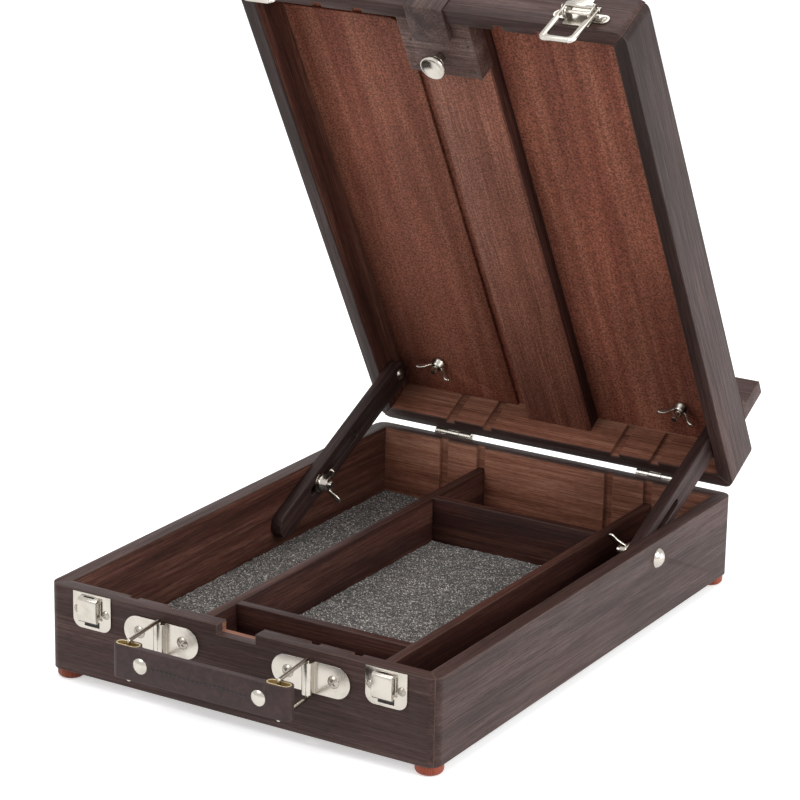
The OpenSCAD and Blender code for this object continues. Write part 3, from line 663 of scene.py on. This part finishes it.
def pair_at_joints(shape, joint, body, name, tilt=0.0):
    """Puts a copy of a shape at the left and right joint of the open lid."""
    for side in ("left", "right"):
        at = Vector(JOINTS[f"{joint}_{side}"]["pos_m"])
        place = Matrix.Translation(at) @ Matrix.Rotation(tilt - LID_OPEN, 4, "X")
        piece = duplicate(shape, f"{name}_{side}", place)
        stand_in(piece, f"{body}_{side}", f"{body}_{side}")
    bpy.data.objects.remove(shape)


# ---------------------------------------------------------------- pieces

class CASE_OT_base_boards(bpy.types.Operator):
    """Walls, bottom, dividers and feet of the base, with rounded edges and stain"""
    bl_idname = "case.base_boards"
    bl_label = "Base boards"

    def execute(self, context):
        s = board_sizes()
        ends = stained_wood("Stained beech with painted light, end walls", OUTER, "X", inside=INNER_END_LIT)
        sides = stained_wood("Stained beech, side walls", OUTER, "Y", inside=INNER)
        floor = stained_wood("Stained plywood bottom", INNER, "Y", speckle=0.12)
        long_wood = stained_wood("Stained divider, long", REDDISH, "Y", rough=0.45)
        cross_wood = stained_wood("Stained divider, cross", REDDISH, "X", rough=0.45)
        feet = stained_wood("Turned feet", FEET, "Z", rough=0.4, wear="B8705A")
        for node, name, edge, mat, segments in (
                ("base_front_wall", "front_board", s.edge, ends, 2),
                ("base_back_wall", "back_board", s.edge, ends, 2),
                ("base_left_wall", "left_board", s.edge, sides, 2),
                ("base_right_wall", "right_board", s.edge, sides, 2),
                ("base_panel", "bottom_board", s.small_edge, floor, 1),
                ("divider_left", "left_divider", s.small_edge, long_wood, 2),
                ("divider_right", "right_divider", s.small_edge, long_wood, 2),
                ("divider_rear", "rear_divider", s.small_edge, cross_wood, 2),
                ("divider_front", "front_divider", s.small_edge, cross_wood, 2),
                ("base_feet", "feet", s.small_edge, feet, 1)):
            rounded_copy(node, name, edge, mat, "base", segments)
        return {"FINISHED"}


class CASE_OT_lid_boards(bpy.types.Operator):
    """Walls, panel, lining, mast housing and ledge of the lid"""
    bl_idname = "case.lid_boards"
    bl_label = "Lid boards"

    def execute(self, context):
        s = board_sizes()
        ends = stained_wood("Stained beech with painted light, lid ends", OUTER, "X", lid=True,
                            inside=INNER_END_LIT)
        # The lid sides carry painted shade that darkens them towards the top of the open
        # lid.
        sides = stained_wood("Stained beech with painted shade, lid sides", OUTER, "Y", lid=True, inside=INNER,
                             painted_shade_level=0.4)
        ply = stained_wood("Stained plywood panel", PANEL, "Y", lid=True, speckle=0.55,
                           rough=0.62, streaks=0.5, pore=0.12, speck_scale=760.0)
        cover = stained_wood("Stained mast cover", COVER, "Y", lid=True, speckle=0.5,
                             rough=0.58, pore=0.2, speck_scale=760.0)
        rail = stained_wood("Stained mast rails", REDDISH, "Y", lid=True)
        clamp = stained_wood("Stained clamp block", CLAMP, "X", lid=True, speckle=0.3)
        bar = stained_wood("Stained canvas ledge", OUTER, "X", lid=True)
        head = stained_wood("Stained mast head", HEAD, "Z", lid=True, speckle=0.2)
        for node, name, edge, mat, body, segments in (
                ("lid_top_wall", "lid_top_board", s.edge, ends, "lid", 2),
                ("lid_bottom_wall", "lid_bottom_board", s.edge, ends, "lid", 2),
                ("lid_left_wall", "lid_left_board", s.edge, sides, "lid", 2),
                ("lid_right_wall", "lid_right_board", s.edge, sides, "lid", 2),
                ("lid_panel", "lid_board", s.small_edge, ply, "lid", 1),
                ("lid_lining", "lining_board", s.small_edge, ply, "lid", 2),
                ("mast_cover", "cover_board", s.small_edge, cover, "lid", 2),
                ("mast_rails", "rails", s.small_edge, rail, "lid", 2),
                ("clamp_block", "clamp", s.small_edge, clamp, "lid", 2),
                ("canvas_ledge", "ledge", s.edge, bar, "lid", 2),
                ("mast", "mast_bar", s.small_edge, rail, "mast", 2),
                ("mast_head", "mast_block", s.edge, head, "mast", 2)):
            rounded_copy(node, name, edge, mat, body, segments)
        return {"FINISHED"}


class CASE_OT_stays(bpy.types.Operator):
    """The two slotted bars that hold the lid open"""
    bl_idname = "case.stays"
    bl_label = "Stays"

    def execute(self, context):
        slide = Vector(JOINTS["stay_slide_right"]["axis"])
        turn = -math.atan2(slide.z, slide.y)
        mat = stained_wood("Dark stained stays", BLACKISH, "Y", turn=turn, rough=0.55,
                           wear="6E6262")
        for side in ("left", "right"):
            rounded_copy(f"stay_{side}", f"stay_bar_{side}", board_sizes().edge, mat,
                         f"stay_{side}")
        return {"FINISHED"}


class CASE_OT_foam(bpy.types.Operator):
    """Crumbly foam liners in the two largest compartments"""
    bl_idname = "case.foam"
    bl_label = "Foam liners"

    def execute(self, context):
        s = foam_sizes()
        gap, sunk, lift = 0.0008, 0.0006, 0.0002
        for node in ("foam_left", "foam_middle"):
            low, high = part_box(node)
            size = high - low
            clear_selection()
            bpy.ops.mesh.primitive_grid_add(
                x_subdivisions=max(4, int(size.x / s.grain)),
                y_subdivisions=max(4, int(size.y / s.grain)), size=1,
                location=((low.x + high.x) / 2, (low.y + high.y) / 2, high.z - sunk))
            obj = bpy.context.object
            obj.scale = (size.x - gap, size.y - gap, 1)
            settle(obj, f"{node}_liner")
            edit_all(obj)
            bpy.ops.transform.vertex_random(offset=s.relief, uniform=0.6, normal=0.4,
                                            seed=11)
            bpy.ops.mesh.select_all(action="DESELECT")
            bpy.ops.mesh.select_non_manifold()
            bpy.ops.mesh.extrude_region_move(
                TRANSFORM_OT_translate={"value": (0, 0, gap - size.z)})
            bpy.ops.transform.resize(
                value=(1, 1, 0), center_override=(0, 0, low.z + lift))
            bpy.ops.mesh.edge_face_add()
            bpy.ops.mesh.select_all(action="SELECT")
            bpy.ops.mesh.normals_make_consistent(inside=False)
            bpy.ops.object.mode_set(mode="OBJECT")
            paint(obj, crumb_foam("Bonded foam crumb"))
            smooth(obj, 50)
            stand_in(obj, "base", node)
        return {"FINISHED"}


def wing_outline():
    """One ear of a wing nut, from the hub outwards, drawn in X and Y."""
    pts = [(1.6, 0.2), (4.0, 0.4), (5.8, 1.8), (7.6, 4.4), (9.6, 6.6), (11.6, 8.0)]
    tip = [(13.1, 8.9), (14.2, 10.2), (14.0, 11.7), (12.7, 12.6), (11.0, 12.4)]
    back = [(9.4, 11.4), (7.6, 9.6), (6.0, 7.4), (4.6, 5.6), (3.0, 4.8), (1.6, 4.8)]
    return mm(pts + tip + back)


class CASE_OT_wing_nuts(bpy.types.Operator):
    """Wing nuts on the stay bolts and on the ledge bolts"""
    bl_idname = "case.wing_nuts"
    bl_label = "Wing nuts"

    def execute(self, context):
        hub = turned("hub", mm(
            [(2.62, 0.0), (5.2, 0.0), (5.7, 0.5), (5.7, 2.0), (5.0, 2.8), (4.5, 5.4),
             (3.9, 6.2), (2.62, 6.2), (2.62, 0.0)]), 28)
        thick, lift = 0.0018, 0.0004
        ears = []
        for half_turn in (0, math.pi):
            ear = bar_profile(wing_outline(), "ear", thick)
            settle(ear, "ear", Matrix.Rotation(half_turn, 4, "Z")
                   @ Matrix.Translation((0, thick / 2, lift)) @ UPRIGHT)
            round_edges(ear, 0.0007, 3, 40)
            ears.append(ear)
        nut = join([hub, *ears], "nut")
        smooth(nut, 50)
        paint(nut, plated_metal(NICKEL))
        for kind, side, spin, scale in (("stay", "left", 20, 0.984),
                                        ("stay", "right", -30, 0.984),
                                        ("ledge", "left", -20, 0.9184),
                                        ("ledge", "right", -16, 0.9184)):
            node = f"wing_nut_{kind}_{side}"
            joint = JOINTS[f"wing_nut_{kind}_turn_{side}"]
            at, axis = Vector(joint["pos_m"]), Vector(joint["axis"])
            # The seat is where the nut's solid starts along the axis.
            seat = at + axis * (reach_along(node, at, axis)[0] + 0.0001)
            basis = OUT_OF_LID
            if kind == "stay":
                basis = Matrix.Rotation(math.pi / 2 * (1 if side == "left" else -1), 4, "Y")
            place = (Matrix.Translation(seat) @ basis
                     @ Matrix.Rotation(math.radians(spin), 4, "Z") @ Matrix.Scale(scale, 4))
            stand_in(duplicate(nut, f"nut_{kind}_{side}", place), node, node)
        bpy.data.objects.remove(nut)
        return {"FINISHED"}


class CASE_OT_latch_bails(bpy.types.Operator):
    """Pressed flat loops of the draw latches, broad below and narrow at the pivots"""
    bl_idname = "case.latch_bails"
    bl_label = "Latch bails"

    def execute(self, context):
        half, reach, thick = 11.8, 33.4, 0.0016
        arm = [(half, 1.6), (half - 0.4, 2.2), (half - 1.5, 2.2), (half - 1.9, 1.6),
               (half - 1.9, -9.4), (half - 3.6, -12.2), (half - 3.9, -14.0),
               (half - 3.9, -reach + 5.6), (half - 4.9, -reach + 4.0),
               (half - 6.3, -reach + 3.4)]
        rim = [(half - 4.6, -reach - 1.2), (half - 2.2, -reach - 0.6),
               (half - 0.7, -reach + 1.0), (half, -reach + 3.4)]
        outline = arm + mirrored(arm) + mirrored(rim) + rim
        loop = bar_profile(mm(outline), "loop", thick)
        settle(loop, "loop", Matrix.Translation((0, -thick / 2, 0)) @ UPRIGHT
               @ Matrix.Translation((0, 0, -thick)))
        recalc(loop)
        round_edges(loop, 0.00045, 3, 40)
        lip = block("lip", (-0.0088, -0.0022, -0.0345), (0.0088, 0.0008, -0.0331))
        round_edges(lip, 0.0005, 3, 40)
        loop = join([loop, lip], "loop")
        smooth(loop, 45)
        paint(loop, plated_metal(NICKEL))
        pair_at_joints(loop, "latch_bail_swing", "latch_bail", "bail_loop",
                       math.radians(-5))
        return {"FINISHED"}


class CASE_OT_latch_levers(bpy.types.Operator):
    """Latch levers: a rounded thumb tab on two cheeks, with a rolled lower edge"""
    bl_idname = "case.latch_levers"
    bl_label = "Latch levers"

    def execute(self, context):
        half, top, corner, cheek_x = 0.0068, 0.0112, 0.0026, 0.009
        outline = [(-0.0095, 0.0026), (-0.0095, 0.0052), (-half, 0.0066)]
        outline += arc(-half + corner, top - corner, corner, math.pi, -math.pi / 2, 8)
        tab = bar_profile(outline + mirrored(outline), "tab", 0.0012)
        settle(tab, "tab", Matrix.Translation((0, -0.0022, 0)) @ UPRIGHT)
        recalc(tab)
        round_edges(tab, 0.0004, 3, 40)
        parts = [tab]
        for x in (-cheek_x, cheek_x):
            cheek = block("cheek", (x - 0.0005, -0.0034, -0.0034),
                          (x + 0.0005, 0.0026, 0.0058))
            round_edges(cheek, 0.0004, 3, 40)
            parts.append(cheek)
        roll = turned("roll", mm([(0.0, 0.0), (1.3, 0.0), (1.7, 0.4), (1.7, 17.6),
                                  (1.3, 18.0), (0.0, 18.0)]), 24)
        settle(roll, "roll", Matrix.Translation((-cheek_x, -0.0030, 0.0030))
               @ Matrix.Rotation(math.pi / 2, 4, "Y"))
        lever = join([*parts, roll], "lever")
        smooth(lever, 45)
        paint(lever, plated_metal(NICKEL))
        pair_at_joints(lever, "latch_lever_turn", "latch_lever", "lever_tab")
        return {"FINISHED"}


class CASE_OT_keepers(bpy.types.Operator):
    """Latch keepers: a plate with rounded feet and a boxed hook that the loops catch"""
    bl_idname = "case.keepers"
    bl_label = "Keepers"

    def execute(self, context):
        low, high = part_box("keepers")
        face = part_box("base_front_wall")[0].y
        nickel = plated_metal(NICKEL)
        half, tall, corner = 0.01375, 0.0225, 0.006
        outline = [(-half, 0), (-half, -tall + corner)]
        outline += arc(-half + corner, -tall + corner, corner,
                       math.pi, math.pi / 2, 8)[1:-1]
        outline.append((-half + corner, -tall))
        plate = bar_profile(outline + mirrored(outline), "keeper", 0.001)
        settle(plate, "keeper", UPRIGHT)
        recalc(plate)
        hook = bar_profile(mm(
            [(-0.4, -0.9), (-4.6, -1.5), (-5.5, -2.3), (-5.9, -4.2), (-6.0, -13.4),
             (-5.6, -15.9), (-4.6, -17.0), (-3.6, -17.0), (-2.0, -14.2),
             (-0.4, -13.6)]), "hook", 0.0136)
        # The outline is drawn in X and Y: X becomes depth, Y height and the draw the width.
        settle(hook, "hook", Matrix.Translation((-0.0072, 0, 0))
               @ Matrix(((0, 0, 1, 0), (1, 0, 0, 0), (0, 1, 0, 0), (0, 0, 0, 1))))
        recalc(hook)
        round_edges(hook, 0.0007, 3, 30)
        # A slot in the top for the loop, a hollow in the side and a slot below.
        for target, a, b in (
                (hook, (-0.0042, -0.0036, -0.0085), (0.0032, -0.0019, 0.001)),
                (hook, (0.0048, -0.0049, -0.0128), (0.0080, -0.0016, -0.0034)),
                (plate, (-0.0055, -0.0015, -0.0206), (0.0055, 0.0005, -0.0168))):
            cut(target, block("slot", a, b))
        round_edges(plate, 0.0003, 2, 40)
        paint(plate, nickel)
        paint(hook, nickel)
        # Behind the lower slot, where the wood is cut away for the loop, a near-black block
        # is painted shadow for that hollow.
        shade = block("shade", (-0.0060, -0.00035, -0.0210), (0.0060, -0.00002, -0.0164))
        paint(shade, waxed_thread("Painted slot shadow"))
        keeper = join([plate, hook, shade], "keeper")
        smooth(keeper, 40)
        x = (high.x - low.x) / 2 - half
        pair = [duplicate(keeper, "keeper", Matrix.Translation((c * x, face, high.z)))
                for c in (-1, 1)]
        bpy.data.objects.remove(keeper)
        stand_in(join(pair, "keeper_pair"), "base", "keepers")
        return {"FINISHED"}


class CASE_OT_thumb_screw(bpy.types.Operator):
    """Clamp screw with a dished, rolled head and a collar"""
    bl_idname = "case.thumb_screw"
    bl_label = "Clamp screw"

    def execute(self, context):
        joint = JOINTS["thumb_screw_turn"]
        at, axis = Vector(joint["pos_m"]), Vector(joint["axis"])
        start, end = reach_along("thumb_screw", at, axis)
        top = (end - start) * 1000
        # Radius and depth below the head's top, from the shank over the collar and the
        # neck to the rolled rim and the dish.
        head = [(2.95, 7.2), (4.6, 7.0), (5.0, 6.6), (5.0, 5.6), (4.5, 5.2), (2.9, 4.9),
                (3.0, 3.4), (5.2, 2.7), (8.0, 2.4), (8.5, 1.9), (8.55, 0.9), (8.1, 0.1),
                (7.3, 0.0), (6.3, 0.5), (4.0, 1.6), (1.8, 2.0), (0.0, 2.05)]
        tip = [(0.0, 0.0), (2.4, 0.0), (2.95, 0.6)]
        screw = turned("clamp_screw", mm(tip + [(r, top - down) for r, down in head]), 48)
        settle(screw, "clamp_screw", Matrix.Translation(at + axis * start) @ OUT_OF_LID)
        smooth(screw, 40)
        paint(screw, plated_metal(NICKEL))
        stand_in(screw, "thumb_screw", "thumb_screw")
        return {"FINISHED"}


class CASE_OT_handle(bpy.types.Operator):
    """Leather strap handle, folded round the wire bails, with its stitching"""
    bl_idname = "case.handle"
    bl_label = "Handle"

    def execute(self, context):
        low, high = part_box("handle_grip")
        mid = (low + high) / 2
        half = (high.x - low.x) / 2
        tall = high.z - low.z
        end_r, wall, end_in, strap = 0.0045, 0.0013, 0.0427, 0.004
        rivet = end_in - 0.002
        quarter = math.pi / 2

        # Outline of the strap seen from above: a flat run that swells into two loops.
        end = (arc(half - end_r, 0, end_r, -quarter, math.pi, 12)
               + arc(end_in + end_r, 0, end_r, quarter, quarter, 6, squash=0.9))
        flat = [(rivet, strap - end_r), (-rivet, strap - end_r)]
        body = bar_profile(end + flat + mirrored(end), "strap", tall)
        recalc(body)
        # The hole through each loop, cut as a boolean.
        hole_r, over = end_r - wall, 0.002
        hole = (arc(half - end_r, 0, hole_r, -quarter, math.pi, 16)
                + arc(end_in + end_r, 0, hole_r, quarter, math.pi, 16))
        for side in (-1, 1):
            cutter = bar_profile([(side * x, y) for x, y in hole], "cut", tall + 2 * over)
            settle(cutter, "cut", Matrix.Translation((0, 0, -over)))
            recalc(cutter)
            cut(body, cutter)
        round_edges(body, 0.0008, 3, 40)
        settle(body, "strap", Matrix.Translation((mid.x, mid.y, low.z)))
        smooth(body, 45)
        paint(body, strap_leather("Waxed strap leather"))
        stand_in(body, "handle", "handle_grip")

        # Stitching along the middle of the strap between the rivets, a little uneven.
        s = handle_sizes()
        gap = s.stitch * 1.32
        count = int((2 * rivet - 0.012) / gap)
        start = -gap * (count - 1) / 2
        clear_selection()
        bpy.ops.mesh.primitive_uv_sphere_add(segments=10, ring_count=6, radius=0.5)
        stitch = bpy.context.object
        stitch.scale = (s.stitch, s.thread * 0.8, s.thread)
        stitch.rotation_euler = (0, math.radians(4), 0)
        settle(stitch, "stitch")
        row = []
        for i in range(count):
            stray = 0.00045 * math.sin(i * 0.55)
            row.append(duplicate(stitch, "stitch", Matrix.Translation(
                (mid.x + start + i * gap, low.y + 0.00005, mid.z - 0.0002 + stray))))
        bpy.data.objects.remove(stitch)
        thread = join(row, "handle_stitching")
        smooth(thread, 60)
        paint(thread, waxed_thread("Waxed linen thread"))
        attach(thread, "handle")
        return {"FINISHED"}


class CASE_OT_fittings(bpy.types.Operator):
    """Plating on the latch bases, brackets, hinges, screws, rivets, wires and bolts"""
    bl_idname = "case.fittings"
    bl_label = "Metal fittings"

    def execute(self, context):
        nickel = plated_metal(NICKEL)
        wire = plated_metal("Nickel wire", "AFA89C", 0.18)
        pins = plated_metal("Screw steel, nickelled", "A39D94", 0.26, wear=0.5)
        brass = plated_metal("Pale brass sleeve", "F0DDB0", 0.35, "C9AE78", 0.4)
        nails = plated_metal("Dark wire nails", "4A4644", 0.45, "2A2625", 0.7)
        for node, obj in NODES.items():
            if obj.hide_render:
                continue
            mat = nickel
            for part, finish in (("handle_liners", brass), ("clamp_nails", nails),
                                 ("screw", pins), ("bail", wire)):
                if part in node:
                    mat = finish
                    break
            paint(obj, mat)
        return {"FINISHED"}


class CASE_OT_studio(bpy.types.Operator):
    """White floor, soft lamps and the camera of the product picture"""
    bl_idname = "case.studio"
    bl_label = "Studio"

    def execute(self, context):
        scene = context.scene
        clear_selection()
        bpy.ops.mesh.primitive_plane_add(size=12, location=(0, 0, -0.0002))
        floor = context.object
        floor.name = "studio_floor"
        mat, tree, bsdf = new_finish("Studio paper")
        bsdf.inputs["Base Color"].default_value = grey(0.85)
        bsdf.inputs["Roughness"].default_value = 0.9
        glow = add_node(tree, "ShaderNodeMath", {"operation": "MULTIPLY"}, {1: 0.5},
                        {0: seen_directly(tree)})
        bsdf.inputs["Emission Color"].default_value = grey(1.0)
        tree.links.new(glow.outputs[0], bsdf.inputs["Emission Strength"])
        paint(floor, mat)

        world = bpy.data.worlds.new("Studio")
        scene.world = world
        world.use_nodes = True
        tree = world.node_tree
        tree.nodes.clear()
        out = add_node(tree, "ShaderNodeOutputWorld")
        level = add_node(tree, "ShaderNodeMapRange", None, {"To Min": 0.5},
                         {"Value": seen_directly(tree)})
        back = add_node(tree, "ShaderNodeBackground", None, {"Color": grey(1.0)},
                        {"Strength": level.outputs[0]})
        tree.links.new(back.outputs[0], out.inputs[0])

        def lamp(name, place, aim, size, power):
            data = bpy.data.lights.new(name, "AREA")
            data.shape = "RECTANGLE"
            data.size, data.size_y = size
            data.energy = power
            obj = bpy.data.objects.new(name, data)
            obj.location = place
            obj.rotation_euler = (Vector(aim) - Vector(place)).to_track_quat(
                "-Z", "Y").to_euler()
            context.collection.objects.link(obj)

        lamp("Softbox right", (1.6, -0.2, 1.0), (0, 0.05, 0.10), (1.2, 1.0), 18)
        lamp("Softbox low right", (0.62, 0.42, 0.12), (0.14, 0.15, 0.06), (0.4, 0.22), 0.9)
        lamp("Softbox front", (-0.7, -1.9, 1.5), (0, 0, 0.15), (1.2, 1.2), 15)
        lamp("Softbox over", (-0.2, 0.2, 2.2), (0, 0, 0.0), (1.6, 1.6), 22)

        # The picture was taken with a long lens from the front right, a little above.
        ahead = Vector((-0.4951, 0.8131, -0.3062)).normalized()
        place = Vector((0.93747, MID_Y - 1.56126, 0.73309))
        roll = math.radians(1.03)
        level_right = ahead.cross(Vector((0, 0, 1))).normalized()
        level_up = level_right.cross(ahead)
        right = level_right * math.cos(roll) + level_up * math.sin(roll)
        up = level_up * math.cos(roll) - level_right * math.sin(roll)
        cam = bpy.data.cameras.new("Picture camera")
        cam.lens = 139.76
        cam.sensor_width = 36
        cam.sensor_fit = "HORIZONTAL"
        cam.shift_x = 0.0122
        cam.shift_y = 0.0042
        cam.clip_end = 50
        eye = bpy.data.objects.new("Picture camera", cam)
        turn = Matrix((right, up, -ahead)).transposed().to_4x4()
        eye.matrix_world = Matrix.Translation(place) @ turn
        context.collection.objects.link(eye)
        scene.camera = eye
        scene.view_settings.view_transform = "Standard"
        return {"FINISHED"}


class CASE_PT_panel(bpy.types.Panel):
    """Lists the pieces and their sizes"""
    bl_idname = "CASE_PT_panel"
    bl_label = "Pochade box"
    bl_space_type = "VIEW_3D"
    bl_region_type = "UI"
    bl_category = "Pochade box"

    def draw(self, context):
        col = self.layout.column()
        for group, names in ((board_sizes(), ("edge", "small_edge")),
                             (foam_sizes(), ("grain", "relief")),
                             (handle_sizes(), ("stitch", "thread"))):
            for name in names:
                col.prop(group, name)
        for op in OPERATORS:
            col.operator(op.bl_idname)


GROUPS = (BoardSizes, FoamSizes, HandleSizes)
OPERATORS = (CASE_OT_base_boards, CASE_OT_lid_boards, CASE_OT_stays, CASE_OT_foam,
             CASE_OT_wing_nuts, CASE_OT_latch_bails, CASE_OT_latch_levers,
             CASE_OT_keepers, CASE_OT_thumb_screw, CASE_OT_handle, CASE_OT_fittings,
             CASE_OT_studio)


def register():
    for cls in (*GROUPS, *OPERATORS, CASE_PT_panel):
        bpy.utils.register_class(cls)
    bpy.types.Scene.case_boards = bpy.props.PointerProperty(type=BoardSizes)
    bpy.types.Scene.case_foam = bpy.props.PointerProperty(type=FoamSizes)
    bpy.types.Scene.case_handle = bpy.props.PointerProperty(type=HandleSizes)


def unregister():
    del bpy.types.Scene.case_boards
    del bpy.types.Scene.case_foam
    del bpy.types.Scene.case_handle
    for cls in reversed((*GROUPS, *OPERATORS, CASE_PT_panel)):
        bpy.utils.unregister_class(cls)


def main():
    register()
    bpy.ops.case.base_boards()
    bpy.ops.case.lid_boards()
    bpy.ops.case.stays()
    bpy.ops.case.foam()
    bpy.ops.case.wing_nuts()
    bpy.ops.case.latch_bails()
    bpy.ops.case.latch_levers()
    bpy.ops.case.keepers()
    bpy.ops.case.thumb_screw()
    bpy.ops.case.handle()
    bpy.ops.case.fittings()
    bpy.ops.case.studio()


if __name__ == "__main__":
    main()
